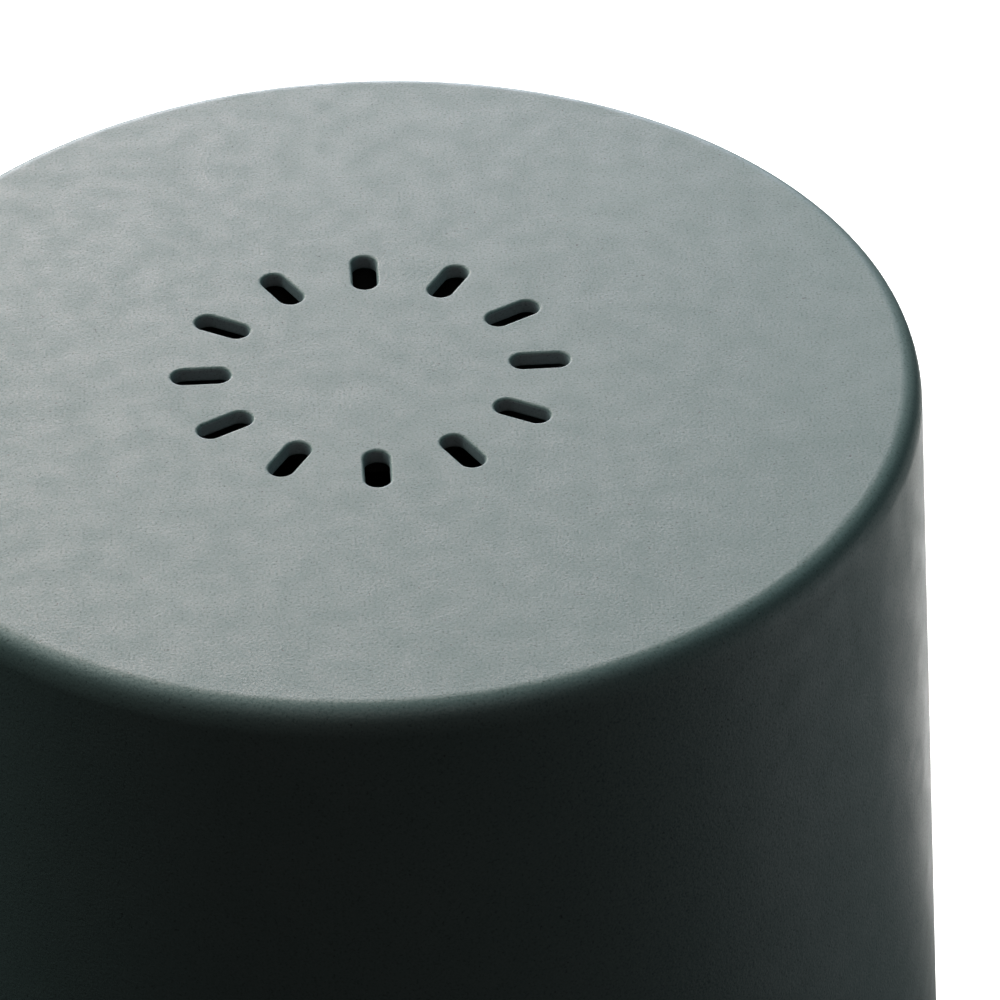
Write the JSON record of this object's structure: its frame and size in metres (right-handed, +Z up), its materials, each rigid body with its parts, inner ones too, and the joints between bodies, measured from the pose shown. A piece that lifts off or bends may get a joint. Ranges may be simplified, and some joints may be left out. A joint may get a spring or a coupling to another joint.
{
  "type": "essential oil diffuser",
  "caption": "Tapered round ultrasonic oil diffuser: a lift-off metal cover with a ring of mist slots over a plastic base with tank, hood, fan and push buttons.",
  "frame": {"origin": "on the axis of the cone, on the surface that the four feet stand on", "axes": "+Z up along the cone's axis; the push buttons face -Y and the power socket faces +Y"},
  "size_m": [0.1082, 0.1082, 0.178],
  "materials": {
    "cover_coat": "fine textured matte powder coat, deep grey green",
    "base_plastic": "fine sparked matte, deep grey green",
    "black_plastic": "fine sparked matte black",
    "tank_plastic": "milky polypropylene, satin",
    "white_plastic": "white satin",
    "rubber": "matte black rubber",
    "silicone": "translucent grey silicone",
    "steel": "zinc plated",
    "brass": "turned",
    "aluminium": "extruded",
    "circuit_board": "green solder mask",
    "copper_winding": "enamelled copper wire",
    "transducer_ceramic": "glazed disc with a silvered face",
    "capacitor_sleeve": "shrunk sleeve",
    "clear_lens": "clear light guide",
    "lead_sleeve": "PVC wire sleeve",
    "connector_nylon": "natural nylon"
  },
  "bodies": {
    "base": {"base_housing": "base_plastic", "bottom_cover": "black_plastic", "water_tank": "tank_plastic", "air_pipe": "tank_plastic", "tank_gasket": "silicone", "transducer_disc": "transducer_ceramic", "transducer_seal": "silicone", "transducer_retainer": "black_plastic", "foot_1": "rubber", "foot_2": "rubber", "foot_3": "rubber", "foot_4": "rubber", "bottom_screw_1": "steel", "bottom_screw_2": "steel", "bottom_screw_3": "steel", "bottom_screw_4": "steel", "tank_screw_1": "steel", "tank_screw_2": "steel", "tank_screw_3": "steel", "tank_screw_4": "steel", "retainer_screw_1": "steel", "retainer_screw_2": "steel", "fan_frame": "black_plastic", "fan_bearing": "brass", "fan_stator": "copper_winding", "fan_duct": "white_plastic", "fan_screw_1": "steel", "fan_screw_2": "steel", "main_board": "circuit_board", "heat_sink": "aluminium", "power_transistor": "black_plastic", "inductor": "copper_winding", "capacitor_1": "capacitor_sleeve", "capacitor_2": "capacitor_sleeve", "power_socket": "black_plastic", "board_screw_1": "steel", "board_screw_2": "steel", "transducer_connector": "connector_nylon", "fan_connector": "connector_nylon", "control_connector": "connector_nylon", "control_board": "circuit_board", "mist_switch": "black_plastic", "timer_switch": "black_plastic", "indicator_led": "clear_lens", "indicator_lens": "clear_lens", "transducer_lead": "lead_sleeve", "fan_lead": "lead_sleeve", "control_lead": "lead_sleeve"},
    "cover": {"cover_shell": "cover_coat", "mist_guide": "black_plastic", "cover_rim_ring": "black_plastic"},
    "hood": {"mist_hood": "white_plastic", "splash_baffle": "white_plastic", "hood_seal": "silicone"},
    "fan_rotor": {"fan_impeller": "black_plastic", "fan_shaft": "steel"},
    "mist_key": {"mist_button": "base_plastic", "mist_switch_plunger": "white_plastic"},
    "timer_key": {"timer_button": "base_plastic", "timer_switch_plunger": "white_plastic"}
  },
  "joints": [
    {"name": "cover_lift", "type": "slide", "parent": "base", "child": "cover", "axis": [0, 0, 1], "range_m": [0, 0.13]},
    {"name": "hood_lift", "type": "slide", "parent": "base", "child": "hood", "axis": [0, 0, 1], "range_m": [0, 0.013]},
    {"name": "fan_spin", "type": "hinge", "parent": "base", "child": "fan_rotor", "pos_m": [-0.026, 0, 0.0125], "axis": [0, 0, 1], "continuous": true},
    {"name": "mist_button_press", "type": "slide", "parent": "base", "child": "mist_key", "axis": [0, 1, 0], "range_m": [0, 0.0006], "stiffness_N_per_m": 300, "springref_m": -0.001},
    {"name": "timer_button_press", "type": "slide", "parent": "base", "child": "timer_key", "axis": [0, 1, 0], "range_m": [0, 0.0006], "stiffness_N_per_m": 300, "springref_m": -0.001}
  ]
}
